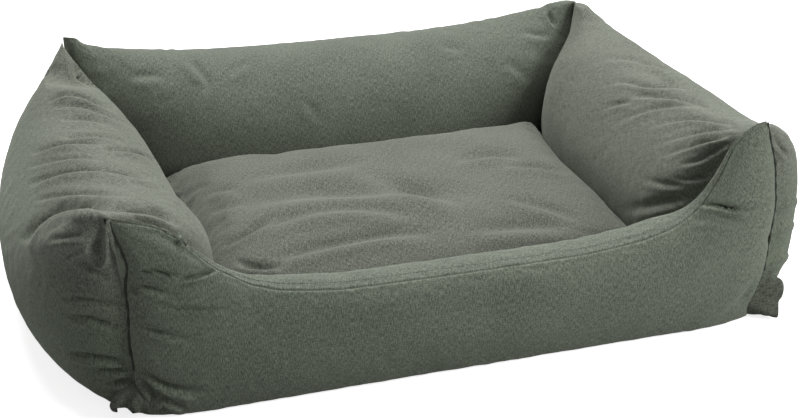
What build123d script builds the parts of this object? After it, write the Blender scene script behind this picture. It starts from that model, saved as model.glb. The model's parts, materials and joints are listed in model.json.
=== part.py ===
# A dog bed: a rectangular basket of four stuffed fabric walls round a loose cushion.
# The left, back and right walls are fat bolsters, and the front wall is thin and dips
# in the middle, so that the dog can step in. The walls are sewn together at four upright
# corner seams, where they are flat and taller and stand up as small ears. The cushion
# lifts out. Its cover opens along a zip low in its back edge.
#
# Lengths are in millimetres. +X runs to the right along the front, +Y to the back and
# +Z up. The origin is on the floor, in the middle of the bed's outer size.

from build123d import *
from math import cos, pi
import os

os.makedirs("parts", exist_ok=True)

# Wall ring
seam_span_x = 622.0          # between the left and right corner seams
seam_span_y = 465.0          # between the front and back corner seams
corner_height = 200.0        # top of the ears above the floor
corner_width = 8.0           # the upright corner seam, across

side_bulge = 89.0            # how far a side wall swells from its corner seams, each way
side_height = 165.0
back_bulge = 95.0
back_height = 160.0
front_outer_bulge = 21.0
front_inner_bulge = 32.0
front_height = 103.0         # the bottom of the dip
dip_start = 8.0              # where the front edge begins to fall, from the corner seam
dip_end = 135.0              # where it has fallen to the bottom of the dip
front_fill_length = 80.0     # over which the front wall fills out from its corner seam
side_stations = (12.0, 28.0, 52.0, 90.0, 150.0)    # where sections are drawn
back_stations = (12.0, 28.0, 52.0, 90.0, 150.0, 230.0)
front_stations = (16.0, 35.0, 60.0, 90.0, 125.0, 200.0)

# Cloth
cloth = 1.2                  # cover cloth
base_cloth = 1.2             # hard-wearing cloth under the bed
lining_cloth = 1.2
stuffing_gap = 0.3           # ease between a cover and its filling
wall_gap = 1.5               # of each wall, to the line where two walls meet
foot_margin = 3.0            # base panel and lining end this far from the edges of the feet

# Grip dots
dot_height = 0.8
dot_radius = 5.0
dot_pitch = 90.0
dots_x = 6
dots_y = 4

# Corner tufts: the spare cloth of each bottom corner, tied in a bunch
tuft_folds = 3
tuft_length = 19.0
tuft_lift = 11.0             # height of its middle above the floor
tuft_half = 14.0             # half its width at its free end
tuft_thick = 7.5             # half its thickness there
tuft_knot_share = 0.36       # of these sizes, at the knot
tuft_valley_share = 0.6      # height of the valleys between its folds, of the folds

# Loose cushion
cushion_thickness = 88.0     # at the crown
cushion_shoulder = 70.0      # height at which the edge turns into the top
cushion_seam_rise = 18.0     # of the seam and zip, above the cushion's underside
cushion_edge_inset = 14.0    # the underside and the top begin this far inside the edge
cushion_side_thick = 8.0     # at the left and right edges, where the cover is pinched
cushion_side_round = 90.0    # over which it swells to its full thickness from there
cushion_stations = (8.0, 25.0, 55.0, 110.0)
cushion_gap = 7.0            # all round, to the walls
cushion_rest_gap = 0.6
cushion_reach = 5.0          # how far the corners reach past the front and back edges
cushion_corner = 16.0        # size of the rounded corners

# Zip of the cushion cover
zip_length = 300.0
tape_width = 6.6
tape_thickness = 0.8
tape_recess = 1.6            # of the tape's face behind the cushion's edge
tooth_bead = 1.8             # each row of teeth, up and down
tooth_depth = 2.6            # each row of teeth, front to back
tooth_gap = 1.2              # between the two rows, for the slider's web
tooth_pitch = 7.0
tooth_notch = 3.0
tooth_notch_depth = 0.7
stop_length = 3.0
zip_groove_depth = 6.0       # pocket in the filling behind the zip
slider_length = 10.0
slider_plate = 1.4
slider_gap = 0.3             # running clearance round teeth and tape
slider_web = 0.7
slider_web_length = 4.0
slider_rim = 0.8
bridge_length = 7.0
bridge_width = 2.4
bridge_bar = 0.9
bridge_tunnel = 1.9
pull_length = 13.0           # from its pivot to its tip
pull_width = 6.4
pull_thickness = 1.2
pull_pin = 0.7               # radius
pull_arm = 1.2
pull_gap = 0.4

overrun = 2.0                # how far a cutting tool runs past what it cuts

# How full a bolster looks from above: 1 at its middle, falling to its corner seams
bulge_power = 2.2
bulge_root = 0.42
ear_power = 3.0              # how fast a wall's top falls from its ears
mitre_power = 4.0            # how closely a wall fills the corner it shares with the next

# Shape of a bolster's cross-section, as shares of its bulge and height
foot_share = 0.5
widest_share = 0.47

# Shape of the front wall's cross-section, as shares of its bulges and height
front_foot_share = 0.55
front_belly_share = 0.42
top_crown_share = 0.05
top_drop_share = 0.3
top_reach_share = 0.95
rolled_edge = 1.5            # the outer panel's top edge rolls this far over the top

# Places that follow from the sizes above
half_x = seam_span_x / 2
outer_depth = front_outer_bulge + seam_span_y + back_bulge
front_row = front_outer_bulge - outer_depth / 2
back_row = front_row + seam_span_y
floor_top = dot_height + base_cloth
post_half = corner_width / 2
cushion_floor = floor_top + lining_cloth + cushion_rest_gap
cushion_seam = cushion_floor + cushion_seam_rise
cushion_half = half_x - side_bulge - cushion_gap
cushion_front = front_row + front_inner_bulge + cushion_gap
cushion_back = back_row - back_bulge - cushion_gap


def fullness(distance, reach):
    """0 at a corner seam and 1 at reach or more from it."""
    share = min(max(distance, 0) / reach, 1)
    return (1 - (1 - share) ** bulge_power) ** bulge_root


def swell(distance, reach, bulge):
    """Half thickness of a wall on one side, at a distance from its end."""
    return post_half + (bulge - post_half) * fullness(distance - post_half, reach - post_half)


def bolster_height(distance, reach, middle_height):
    share = min(distance / reach, 1)
    return middle_height + (corner_height - middle_height) * (1 - share) ** ear_power


def mitred(thickness, room):
    """The thickness of a wall where the next wall leaves it only some room."""
    shares = thickness ** -mitre_power + room ** -mitre_power
    return shares ** (-1 / mitre_power)


def side_profile(run):
    """Outer half, inner half and top of a side wall, at a run from the front corner seam."""
    nearest = min(run, seam_span_y - run)
    reach = seam_span_y / 2
    outer = swell(nearest, reach, side_bulge)
    inner = mitred(outer, nearest - wall_gap)
    return outer, inner, bolster_height(nearest, reach, side_height)


def back_profile(run):
    """The same for the back wall, at a run from its left corner seam."""
    nearest = min(run, seam_span_x - run)
    outer = swell(nearest, half_x, back_bulge)
    inner = mitred(outer, nearest - wall_gap)
    return outer, inner, bolster_height(nearest, half_x, back_height)


def front_profile(run):
    """The same for the front wall. Its top dips between the ears."""
    nearest = min(run, seam_span_x - run)
    outer = swell(nearest, front_fill_length, front_outer_bulge)
    inner = mitred(swell(nearest, front_fill_length, front_inner_bulge), nearest - wall_gap)
    fall = min(max((nearest - dip_start) / (dip_end - dip_start), 0), 1)
    height = front_height + (corner_height - front_height) * (1 + cos(pi * fall)) / 2
    return outer, inner, height


def bolster_section(plane, outer, inner, height):
    """A flat foot, and on each side two arcs that are upright where they meet."""
    with BuildSketch(plane) as section:
        with BuildLine():
            Line((-foot_share * inner, 0), (foot_share * outer, 0))
            for half in (outer, -inner):
                widest = (half, widest_share * height)
                TangentArc(widest, (foot_share * half, 0), tangent=(0, -1))
                TangentArc(widest, (0, height), tangent=(0, 1))
        make_face()
    return section.sketch


def front_section(plane, outer, inner, height):
    """A flat foot, the outer panel's arc, a narrow top and the inner arc."""
    inner_top = (-top_reach_share * inner, height - top_drop_share * inner)
    with BuildSketch(plane) as section:
        with BuildLine():
            Line((-front_foot_share * inner, 0), (front_foot_share * outer, 0))
            ThreePointArc(
                (front_foot_share * outer, 0), (outer, front_belly_share * height), (0, height)
            )
            ThreePointArc(
                (0, height), (-inner / 2, height + top_crown_share * inner), inner_top
            )
            ThreePointArc(
                inner_top, (-inner, front_belly_share * height), (-front_foot_share * inner, 0)
            )
        make_face()
    return section.sketch


def left_plane(run):
    return Plane((-half_x, front_row + run, 0), x_dir=(-1, 0, 0), z_dir=(0, 1, 0))


def back_plane(run):
    return Plane((-half_x + run, back_row, 0), x_dir=(0, 1, 0), z_dir=(1, 0, 0))


def front_plane(run):
    return Plane((-half_x + run, front_row, 0), x_dir=(0, -1, 0), z_dir=(-1, 0, 0))


def drawn_in(run, runs, inset):
    """The run, with both ends of the span drawn in by inset."""
    return min(max(run, runs[0] + inset), runs[-1] - inset)


def wall_sections(plane_at, profile, section, runs, inset):
    """The wall's sections, drawn in by inset all round, from one end to the other."""
    sections = []
    for run in runs:
        outer, inner, height = profile(run)
        plane = plane_at(drawn_in(run, runs, inset))
        plane = Plane(plane.origin + Vector(0, 0, floor_top + inset), plane.x_dir, plane.z_dir)
        top = height - floor_top - 2 * inset
        sections.append(section(plane, outer - inset, inner - inset, top))
    return sections


def both_ends(first, stations, span):
    """Where sections are drawn along a span, from one end to the other."""
    near = (first, *stations)
    return [*near, span / 2, *(span - station for station in reversed(near))]


side_runs = both_ends(post_half, side_stations, seam_span_y)
back_runs = both_ends(post_half, back_stations, seam_span_x)
front_runs = both_ends(post_half, front_stations, seam_span_x)
cushion_runs = both_ends(0, cushion_stations, 2 * cushion_half)
filling_inset = cloth + stuffing_gap

# Left wall
left_walls = (left_plane, side_profile, bolster_section, side_runs)
with BuildPart() as left_cover:
    loft(wall_sections(*left_walls, 0), ruled=True)
    loft(wall_sections(*left_walls, cloth), ruled=True, mode=Mode.SUBTRACT)

with BuildPart() as left_filling:
    loft(wall_sections(*left_walls, filling_inset), ruled=True)

# Right wall, the mirror image of the left one
with BuildPart() as right_cover:
    add(mirror(left_cover.part, about=Plane.YZ))

with BuildPart() as right_filling:
    add(mirror(left_filling.part, about=Plane.YZ))

# Back wall
back_walls = (back_plane, back_profile, bolster_section, back_runs)
with BuildPart() as back_cover:
    loft(wall_sections(*back_walls, 0), ruled=True)
    loft(wall_sections(*back_walls, cloth), ruled=True, mode=Mode.SUBTRACT)

with BuildPart() as back_filling:
    loft(wall_sections(*back_walls, filling_inset), ruled=True)

# Front wall: an outer panel up to the seam along the dip, and a panel over the top
front_walls = (front_plane, front_profile, front_section, front_runs)
seam_plane = Plane((0, front_row + rolled_edge, 0), x_dir=(1, 0, 0), z_dir=(0, -1, 0))
with BuildPart() as front_outer_panel:
    loft(wall_sections(*front_walls, 0), ruled=True)
    loft(wall_sections(*front_walls, cloth), ruled=True, mode=Mode.SUBTRACT)
    split(bisect_by=seam_plane, keep=Keep.TOP)

with BuildPart() as front_top_panel:
    loft(wall_sections(*front_walls, 0), ruled=True)
    loft(wall_sections(*front_walls, cloth), ruled=True, mode=Mode.SUBTRACT)
    split(bisect_by=seam_plane, keep=Keep.BOTTOM)

with BuildPart() as front_filling:
    loft(wall_sections(*front_walls, filling_inset), ruled=True)

# Base panel, lining and grip dots
side_foot = foot_share * side_bulge - foot_margin
back_foot = foot_share * back_bulge - foot_margin
front_foot = front_foot_share * front_outer_bulge - foot_margin
corners = {
    "front_left": (-half_x, front_row),
    "front_right": (half_x, front_row),
    "back_left": (-half_x, back_row),
    "back_right": (half_x, back_row),
}
middle_y = (front_row + back_row) / 2
with BuildPart() as base_panel:
    with BuildSketch(Plane.XY.offset(dot_height)):
        with BuildLine():
            ThreePointArc(corners["front_left"], (0, front_row - front_foot), corners["front_right"])
            ThreePointArc(corners["front_right"], (half_x + side_foot, middle_y), corners["back_right"])
            ThreePointArc(corners["back_right"], (0, back_row + back_foot), corners["back_left"])
            ThreePointArc(corners["back_left"], (-half_x - side_foot, middle_y), corners["front_left"])
        make_face()
    extrude(amount=base_cloth)

lining_front = front_row + front_foot_share * front_inner_bulge + foot_margin
lining_back = back_row - foot_share * back_bulge - foot_margin
lining_half = half_x - foot_share * side_bulge - foot_margin
with BuildPart() as floor_lining:
    with BuildSketch(Plane.XY.offset(floor_top)):
        with Locations((0, (lining_front + lining_back) / 2)):
            Rectangle(2 * lining_half, lining_back - lining_front)
    extrude(amount=lining_cloth)

with BuildPart() as grip_dots:
    with BuildSketch():
        with Locations((0, middle_y)):
            with GridLocations(dot_pitch, dot_pitch, dots_x, dots_y):
                RegularPolygon(dot_radius, 6)
    extrude(amount=dot_height)


def corner_seam(corner):
    """The upright seam of one corner."""
    with BuildPart() as seam:
        with BuildSketch(Plane.XY.offset(floor_top)):
            with Locations(corner):
                Rectangle(corner_width, corner_width)
        extrude(amount=corner_height - floor_top)
        chamfer(seam.edges().filter_by(Axis.Z), corner_width / 4)
    return seam.part


def tuft_section(plane, half, thick):
    """A row of folds with valleys between them, alike above and below."""
    pitch = 2 * half / tuft_folds
    valley = tuft_valley_share * thick
    with BuildSketch(plane) as section:
        with BuildLine():
            for side in (1, -1):
                Line((side * half, -valley), (side * half, valley))
                for fold in range(tuft_folds):
                    left = -half + fold * pitch
                    ThreePointArc(
                        (left, side * valley),
                        (left + pitch / 2, side * thick),
                        (left + pitch, side * valley),
                    )
        make_face()
    return section.sketch


def corner_tuft(corner):
    """Folds of cloth that fan out from the foot of a corner seam."""
    x, y = corner
    out_x = 1 if x > 0 else -1
    out_y = 1 if y > middle_y else -1
    outward = Vector(out_x, out_y, 0).normalized()
    knot = Plane((x, y, tuft_lift), z_dir=outward, x_dir=(-outward.Y, outward.X, 0))
    knot = knot.offset(post_half)
    with BuildPart() as tuft:
        loft([
            tuft_section(knot, tuft_knot_share * tuft_half, tuft_knot_share * tuft_thick),
            tuft_section(knot.offset(tuft_length), tuft_half, tuft_thick),
        ], ruled=True)
        with Locations((x, y, corner_height / 2)):
            Box(corner_width, corner_width, corner_height, mode=Mode.SUBTRACT)
    return tuft.part


def cushion_section(run, inset):
    """A flat underside, a bowed back and front edge and a crowned top."""
    nearest = min(run, 2 * cushion_half - run)
    full = fullness(nearest, cushion_side_round)
    pinch = cushion_side_thick / 2
    under = cushion_seam - pinch - (cushion_seam_rise - pinch) * full + inset
    shoulder = cushion_seam + pinch / 2 - inset
    shoulder += (cushion_shoulder - cushion_seam_rise - pinch / 2) * full
    crown = cushion_seam + pinch + (cushion_thickness - cushion_seam_rise - pinch) * full - inset
    edge = pinch + (cushion_edge_inset - pinch) * full
    round_off = cushion_corner * (1 - fullness(nearest, 2 * cushion_corner))
    past_zip = max(cushion_half - nearest - zip_length / 2, 0) / (cushion_half - zip_length / 2)
    reach = cushion_reach * past_zip ** 2 - round_off - inset
    front = cushion_front - reach
    back = cushion_back + reach
    middle = (front + back) / 2
    plane_run = drawn_in(run, cushion_runs, inset)
    plane = Plane((plane_run - cushion_half, 0, 0), x_dir=(0, 1, 0), z_dir=(1, 0, 0))
    with BuildSketch(plane) as section:
        with BuildLine():
            Line((front + edge, under), (back - edge, under))
            ThreePointArc((back - edge, under), (back, cushion_seam), (back - edge, shoulder))
            ThreePointArc((back - edge, shoulder), (middle, crown), (front + edge, shoulder))
            ThreePointArc((front + edge, shoulder), (front, cushion_seam), (front + edge, under))
        make_face()
    return section.sketch


def cushion_sections(inset):
    return [cushion_section(run, inset) for run in cushion_runs]


# Cushion cover, cut apart along its seam, with a gap for the zip
zip_half = zip_length / 2
zip_reach = tooth_gap / 2 + tooth_bead + tape_width
zip_gap_centre = (0, cushion_back - zip_groove_depth / 2 + overrun / 2, cushion_seam)
with BuildPart() as cushion_cover:
    loft(cushion_sections(0), ruled=True)
    loft(cushion_sections(cloth), ruled=True, mode=Mode.SUBTRACT)
    with Locations(zip_gap_centre):
        Box(zip_length, zip_groove_depth + overrun, 2 * zip_reach, mode=Mode.SUBTRACT)

with BuildPart() as cushion_top_panel:
    add(cushion_cover.part)
    split(bisect_by=Plane.XY.offset(cushion_seam), keep=Keep.TOP)

with BuildPart() as cushion_bottom_panel:
    add(cushion_cover.part)
    split(bisect_by=Plane.XY.offset(cushion_seam), keep=Keep.BOTTOM)

with BuildPart() as cushion_filling:
    loft(cushion_sections(filling_inset), ruled=True)
    with Locations(zip_gap_centre):
        Box(
            zip_length + 2 * stuffing_gap, zip_groove_depth + overrun,
            2 * (zip_reach + stuffing_gap), mode=Mode.SUBTRACT,
        )

# Zip: tapes, teeth and end stops
tape_face = cushion_back - tape_recess
tape_middle = tape_face - tape_thickness / 2
bead_middle = tooth_gap / 2 + tooth_bead / 2
with BuildPart() as zip_tapes:
    for side in (1, -1):
        rise = side * (zip_reach - tape_width / 2)
        with Locations((0, tape_middle, cushion_seam + rise)):
            Box(zip_length, tape_thickness, tape_width)

teeth_length = zip_length - 2 * stop_length
tooth_count = int(teeth_length / tooth_pitch)
with BuildPart() as zip_teeth:
    for side in (1, -1):
        with Locations((0, tape_middle, cushion_seam + side * bead_middle)):
            Box(teeth_length, tooth_depth, tooth_bead)
        notch_edge = cushion_seam + side * (tooth_gap / 2 + tooth_notch_depth / 2)
        with Locations((0, tape_middle, notch_edge)):
            with GridLocations(tooth_pitch, tooth_pitch, tooth_count, 1):
                Box(tooth_notch, tooth_depth, tooth_notch_depth, mode=Mode.SUBTRACT)

with BuildPart() as zip_stops:
    for side in (1, -1):
        with Locations((side * (zip_half - stop_length / 2), tape_middle, cushion_seam)):
            Box(stop_length, tooth_depth, tooth_gap + 2 * tooth_bead)

# Zip slider, closed, at the right-hand end
slider_x = zip_half - stop_length - slider_gap - slider_length / 2
plate_offset = tooth_depth / 2 + slider_gap + slider_plate / 2
plate_height = 2 * (bead_middle + tooth_bead / 2 + slider_gap + slider_rim)
rim_depth = tooth_depth / 2 - tape_thickness / 2
slider_face = tape_middle + plate_offset + slider_plate / 2
bridge_rise = bridge_tunnel + bridge_bar
with BuildPart() as zip_slider:
    for side in (1, -1):
        with Locations((slider_x, tape_middle + side * plate_offset, cushion_seam)):
            Box(slider_length, slider_plate, plate_height)
        rim_middle = tape_thickness / 2 + slider_gap + rim_depth / 2
        for edge in (1, -1):
            rim_rise = edge * (plate_height / 2 - slider_rim / 2)
            with Locations((slider_x, tape_middle + side * rim_middle, cushion_seam + rim_rise)):
                Box(slider_length, rim_depth, slider_rim)
    with Locations((slider_x + slider_length / 2 - slider_web_length / 2, tape_middle, cushion_seam)):
        Box(slider_web_length, 2 * plate_offset, slider_web)
    with Locations((slider_x, slider_face + bridge_rise / 2, cushion_seam)):
        Box(bridge_length, bridge_rise, bridge_width)
    with Locations((slider_x, slider_face + bridge_tunnel / 2, cushion_seam)):
        Box(bridge_length - 2 * bridge_bar, bridge_tunnel, bridge_width, mode=Mode.SUBTRACT)

# Pull tab: a pin under the slider's bridge, two arms and a flat grip
pull_pivot_y = slider_face + bridge_tunnel / 2
arm_middle = bridge_width / 2 + pull_gap + pull_arm / 2
arm_length = bridge_length / 2 + bridge_bar + pull_gap
grip_length = pull_length - arm_length
grip_height = 2 * (arm_middle + pull_arm / 2)
with BuildPart() as zip_pull:
    with Locations((slider_x, pull_pivot_y, cushion_seam)):
        Cylinder(pull_pin, grip_height)
    for side in (1, -1):
        with Locations((slider_x - arm_length / 2, pull_pivot_y, cushion_seam + side * arm_middle)):
            Box(arm_length, pull_thickness, pull_arm)
        with Locations((slider_x, pull_pivot_y, cushion_seam + side * arm_middle)):
            Cylinder(pull_thickness / 2, pull_arm)
    with Locations((slider_x - arm_length - grip_length / 2, pull_pivot_y, cushion_seam)):
        Box(grip_length, pull_thickness, max(grip_height, pull_width))

pieces = {
    "left_cover": left_cover.part,
    "left_filling": left_filling.part,
    "right_cover": right_cover.part,
    "right_filling": right_filling.part,
    "back_cover": back_cover.part,
    "back_filling": back_filling.part,
    "front_outer_panel": front_outer_panel.part,
    "front_top_panel": front_top_panel.part,
    "front_filling": front_filling.part,
    "base_panel": base_panel.part,
    "floor_lining": floor_lining.part,
    "grip_dots": grip_dots.part,
    "cushion_top_panel": cushion_top_panel.part,
    "cushion_bottom_panel": cushion_bottom_panel.part,
    "cushion_filling": cushion_filling.part,
    "cushion_zip_tapes": zip_tapes.part,
    "cushion_zip_teeth": zip_teeth.part,
    "cushion_zip_stops": zip_stops.part,
    "cushion_zip_slider": zip_slider.part,
    "cushion_zip_pull": zip_pull.part,
}
for name, corner in corners.items():
    pieces[name + "_corner_seam"] = corner_seam(corner)
    pieces[name + "_corner_tuft"] = corner_tuft(corner)

for name, piece in pieces.items():
    piece.label = name
    export_step(piece, f"parts/{name}.step")
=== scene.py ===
# %% [markdown]
# # A dog bed of stuffed canvas
# The real object is a fabric basket: fat stuffed walls on the left, right and back, a thin
# low wall in front with a dip to step through, and a loose cushion inside. Everything is
# sewn from one grey-green melange canvas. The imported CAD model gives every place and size,
# so this lesson begins by loading it, and each soft piece is then made around it.

# %% Load the frame
import json
import math
import random

import bpy
import numpy as np
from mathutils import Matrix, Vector
from mathutils.bvhtree import BVHTree

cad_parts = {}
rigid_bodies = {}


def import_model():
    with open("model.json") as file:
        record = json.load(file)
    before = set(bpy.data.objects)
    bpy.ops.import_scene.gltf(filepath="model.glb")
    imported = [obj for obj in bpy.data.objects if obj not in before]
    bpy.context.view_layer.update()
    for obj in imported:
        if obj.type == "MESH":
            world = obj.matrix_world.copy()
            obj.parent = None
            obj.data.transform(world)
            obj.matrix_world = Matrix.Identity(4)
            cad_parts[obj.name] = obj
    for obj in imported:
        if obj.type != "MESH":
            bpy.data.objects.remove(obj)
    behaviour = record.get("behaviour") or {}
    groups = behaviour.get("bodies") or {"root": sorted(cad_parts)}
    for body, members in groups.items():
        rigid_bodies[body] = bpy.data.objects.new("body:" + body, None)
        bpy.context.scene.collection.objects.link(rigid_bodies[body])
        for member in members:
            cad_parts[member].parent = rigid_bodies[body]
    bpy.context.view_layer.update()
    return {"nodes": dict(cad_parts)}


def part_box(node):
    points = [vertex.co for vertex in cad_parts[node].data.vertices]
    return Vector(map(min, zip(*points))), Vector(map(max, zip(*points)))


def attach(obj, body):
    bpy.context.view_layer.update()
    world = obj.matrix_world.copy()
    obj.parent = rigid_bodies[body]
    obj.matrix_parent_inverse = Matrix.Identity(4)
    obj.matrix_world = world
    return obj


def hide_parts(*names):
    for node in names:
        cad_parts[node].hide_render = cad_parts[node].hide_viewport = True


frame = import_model()
scene = bpy.context.scene

# %% [markdown]
# ## Camera, floor and light
# The camera stands where the photographer stood, to the left of the middle and looking
# down by about 25 degrees. The floor is white paper that glows a little for the camera, so
# it stays white and still takes a soft shadow. A large lamp overhead and one from the right
# leave the left side of the walls darker, as in the photo.

# %% Camera
photo_width = 800
focal_pixels = 1342.1
sensor_width = 36.0
camera_place = (-0.383, -1.302, 0.667)
camera_turn = 17.27
camera_dip = 24.81

camera_data = bpy.data.cameras.new("camera")
camera_data.sensor_width = sensor_width
camera_data.lens = focal_pixels / photo_width * sensor_width
camera = bpy.data.objects.new("camera", camera_data)
scene.collection.objects.link(camera)
camera.location = camera_place
camera.rotation_euler = (math.radians(90 - camera_dip), 0, math.radians(-camera_turn))
scene.camera = camera
scene.view_settings.view_transform = "Standard"
print("lens:", round(camera_data.lens, 1), "mm")


# %% Helpers to model by hand
def only(piece):
    """Selects one object alone and makes it active."""
    if bpy.context.object and bpy.context.object.mode != "OBJECT":
        bpy.ops.object.mode_set(mode="OBJECT")
    bpy.ops.object.select_all(action="DESELECT")
    piece.select_set(True)
    bpy.context.view_layer.objects.active = piece


def added(name):
    """Names the primitive that was just added."""
    piece = bpy.context.object
    piece.name = name
    piece.data.name = name
    only(piece)
    return piece


def finish_modifier(piece, kind, **settings):
    """Adds a modifier, sets it and applies it."""
    only(piece)
    modifier = piece.modifiers.new(kind.lower(), kind)
    for key, value in settings.items():
        setattr(modifier, key, value)
    bpy.ops.object.modifier_apply(modifier=modifier.name)


def smooth(piece):
    only(piece)
    bpy.ops.object.shade_smooth()


def select_where(piece, kind, wanted):
    """In edit mode, leaves only the vertices, edges or faces selected that are wanted."""
    bpy.ops.mesh.select_mode(type=kind)
    bpy.ops.mesh.select_all(action="DESELECT")
    bpy.ops.object.mode_set(mode="OBJECT")
    mesh = piece.data
    parts = {"VERT": mesh.vertices, "EDGE": mesh.edges, "FACE": mesh.polygons}[kind]
    for part in parts:
        part.select = wanted(mesh, part)
    bpy.ops.object.mode_set(mode="EDIT")


def tube(name, sides, radius, length, ends, middle=(0, 0, 0)):
    """A primitive cylinder. ends is how it is closed there, or NOTHING."""
    bpy.ops.object.select_all(action="DESELECT")
    bpy.ops.mesh.primitive_cylinder_add(
        vertices=sides, radius=radius, depth=length, end_fill_type=ends, location=middle
    )
    return added(name)


def cut_rings(piece, least, cuts):
    """Cuts all edges of a tube that rise by more than least into even rings."""
    def upright(mesh, edge):
        low, high = (mesh.vertices[v].co.z for v in edge.vertices)
        return abs(low - high) > least

    bpy.ops.object.mode_set(mode="EDIT")
    select_where(piece, "EDGE", upright)
    bpy.ops.mesh.subdivide(number_cuts=cuts)
    bpy.ops.object.mode_set(mode="OBJECT")


def lay_cloth(piece, rule):
    """Names the UV map of a tube, and lays each point on it by a rule."""
    uv = piece.data.uv_layers[0]
    uv.name = "cloth"
    for loop in piece.data.loops:
        uv.data[loop.index].uv = rule(piece.data.vertices[loop.vertex_index].co)


# %% Helpers for materials
def new_material(name):
    material = bpy.data.materials.new(name)
    material.use_nodes = True
    return material, material.node_tree.nodes, material.node_tree.links


def spread(nodes, links, value, low, high, from_low=0.3, from_high=0.7):
    """Stretches a value from one range to another."""
    ranged = nodes.new("ShaderNodeMapRange")
    ends = (("From Min", from_low), ("From Max", from_high), ("To Min", low), ("To Max", high))
    for socket, end in ends:
        ranged.inputs[socket].default_value = end
    links.new(value, ranged.inputs["Value"])
    return ranged.outputs["Result"]


def combined(nodes, links, kind, first, second):
    """Two values put together by a kind of sum."""
    maths = nodes.new("ShaderNodeMath")
    maths.operation = kind
    for socket, value in zip(maths.inputs, (first, second)):
        if isinstance(value, (int, float)):
            socket.default_value = value
        else:
            links.new(value, socket)
    return maths.outputs["Value"]


def shades(nodes, links, value, colour, stops):
    """Darker and lighter shades of a colour. The stops are positions and shares of it."""
    ramp = nodes.new("ShaderNodeValToRGB")
    elements = ramp.color_ramp.elements
    for index, (position, share) in enumerate(stops):
        stop = elements[index] if index < 2 else elements.new(position)
        stop.position = position
        stop.color = (*(share * part for part in colour), 1)
    links.new(value, ramp.inputs["Fac"])
    return ramp.outputs["Color"]


def roughen(nodes, links, shader, height, strength, depth):
    """Lets a pattern of heights turn the normals of a surface."""
    bump = nodes.new("ShaderNodeBump")
    bump.inputs["Strength"].default_value = strength
    bump.inputs["Distance"].default_value = depth
    links.new(height, bump.inputs["Height"])
    links.new(bump.outputs["Normal"], shader.inputs["Normal"])


# %% Floor and lamps
floor_size, floor_roughness, floor_gloss = 14, 0.9, 0.1
floor_white, floor_bounce, floor_glow = 0.93, 0.38, 0.8

bpy.ops.object.select_all(action="DESELECT")
bpy.ops.mesh.primitive_plane_add(size=floor_size, location=(0, 0, 0))
floor = added("floor")
material, nodes, links = new_material("white_paper")
paper = nodes["Principled BSDF"]
paper.inputs["Roughness"].default_value = floor_roughness
paper.inputs["Specular IOR Level"].default_value = floor_gloss
paper.inputs["Emission Color"].default_value = (1, 1, 1, 1)
camera_ray = nodes.new("ShaderNodeLightPath").outputs["Is Camera Ray"]
glow = combined(nodes, links, "MULTIPLY", camera_ray, floor_glow)
links.new(glow, paper.inputs["Emission Strength"])
paper_shade = spread(nodes, links, camera_ray, floor_bounce, floor_white, 0, 1)
links.new(paper_shade, paper.inputs["Base Color"])
floor.data.materials.append(material)


def area_lamp(name, place, aim, size, power):
    data = bpy.data.lights.new(name, "AREA")
    data.shape = "DISK"
    data.size = size
    data.energy = power
    lamp = bpy.data.objects.new(name, data)
    scene.collection.objects.link(lamp)
    lamp.location = place
    lamp.rotation_euler = (Vector(aim) - Vector(place)).to_track_quat("-Z", "Y").to_euler()


area_lamp("sky_lamp", (-0.05, 0.9, 2.4), (0, 0, 0.1), 1.8, 58)
area_lamp("right_lamp", (1.0, -1.0, 0.75), (0.1, 0, 0.1), 0.6, 9.5)

world = bpy.data.worlds.new("studio")
scene.world = world
world.use_nodes = True
sky_nodes, sky_links = world.node_tree.nodes, world.node_tree.links
room_light, white = 0.170, 1.0
ray = sky_nodes.new("ShaderNodeLightPath").outputs
seen = combined(sky_nodes, sky_links, "MAXIMUM", ray["Is Camera Ray"], ray["Is Glossy Ray"])
seen = combined(sky_nodes, sky_links, "MAXIMUM", seen, ray["Is Transmission Ray"])
strength = spread(sky_nodes, sky_links, seen, room_light, white, 0, 1)
sky_links.new(strength, sky_nodes["Background"].inputs["Strength"])
sky_nodes["Background"].inputs["Color"].default_value = (1, 1, 1, 1)
print("lamps: sky and right, with a white room seen behind the bed")

# %% [markdown]
# ## The canvas
# The cloth is a melange canvas: light and dark fibres are spun together, so the colour is
# finely speckled and has short thick places in its upright threads. From a step away it is
# almost one colour. The pattern must follow the cloth and not slide through it, so every
# soft piece gets a UV map in metres, one direction along the wall and one round it.


# %% Canvas material
thread = 0.0007
waves_per_scale = 0.314
dash_width, dash_length = 0.0008, 0.0044
fibre_scale, patch_scale = 900, 14
dash_part, pick_part, fibre_part, patch_part = 0.33, 0.22, 0.14, 0.07
# Positions in the sum of the patterns, and the share of the canvas's colour there
canvas_stops = ((0.0, 0.48), (1.0, 1.60), (0.5, 1.0))
outer_from, outer_to = -0.03, -0.13


def noise_on(nodes, links, vector, scale, detail, roughness=0.55):
    """A noise whose scale differs in the two directions of the cloth, in features per metre."""
    mapping = nodes.new("ShaderNodeMapping")
    mapping.inputs["Scale"].default_value = (scale[0], scale[1], 1)
    links.new(vector, mapping.inputs["Vector"])
    texture = nodes.new("ShaderNodeTexNoise")
    texture.noise_dimensions = "2D"
    texture.inputs["Scale"].default_value = 1.0
    texture.inputs["Detail"].default_value = detail
    texture.inputs["Roughness"].default_value = roughness
    links.new(mapping.outputs["Vector"], texture.inputs["Vector"])
    return texture.outputs["Fac"]


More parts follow.
